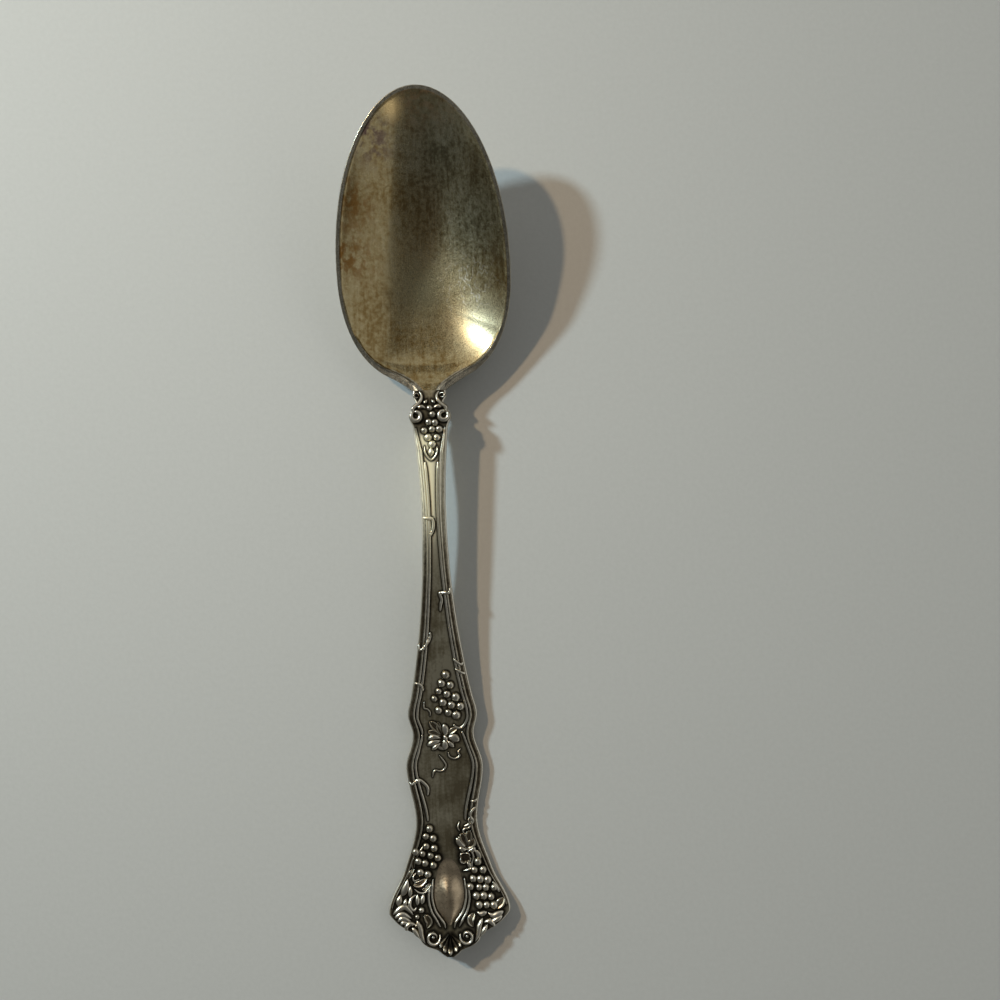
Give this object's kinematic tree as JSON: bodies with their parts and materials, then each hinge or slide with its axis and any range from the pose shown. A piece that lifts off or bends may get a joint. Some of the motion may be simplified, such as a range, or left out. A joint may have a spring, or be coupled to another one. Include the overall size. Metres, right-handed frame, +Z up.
{
  "type": "serving spoon",
  "caption": "Serving spoon with an egg-shaped bowl on a waisted handle that carries a raised grapevine border, bunches and leaves.",
  "frame": {"origin": "on the table, under the middle of the spoon's length and width", "axes": "+Y along the spoon towards the tip of the bowl, +Z up out of the bowl, +X to the right seen from above"},
  "size_m": [0.0418, 0.2082, 0.0222],
  "materials": {
    "bowl": "tarnished silver",
    "blank": "oxidised silver",
    "relief": "worn bright silver",
    "boss": "polished silver"
  },
  "bodies": {
    "root": {"bowl": "bowl", "handle": "blank", "edge_thread_left": "relief", "edge_thread_right": "relief", "upper_thread_left": "relief", "upper_thread_right": "relief", "lower_thread_left": "relief", "lower_thread_right": "relief", "neck_ears": "relief", "neck_scroll_left": "relief", "neck_scroll_right": "relief", "neck_grapes": "relief", "neck_pendant": "relief", "middle_grapes": "relief", "middle_leaf": "relief", "middle_tendrils": "relief", "left_grapes": "relief", "right_grapes": "relief", "left_vine_leaf": "relief", "right_vine_leaf": "relief", "left_corner_leaf": "relief", "right_corner_leaf": "relief", "left_acanthus": "relief", "right_acanthus": "relief", "medallion": "boss", "lyre_thread_left": "relief", "lyre_thread_right": "relief", "foot_scroll_left": "relief", "foot_scroll_right": "relief", "tip_shell": "relief", "border_ties_left": "relief", "border_ties_right": "relief"}
  },
  "joints": []
}
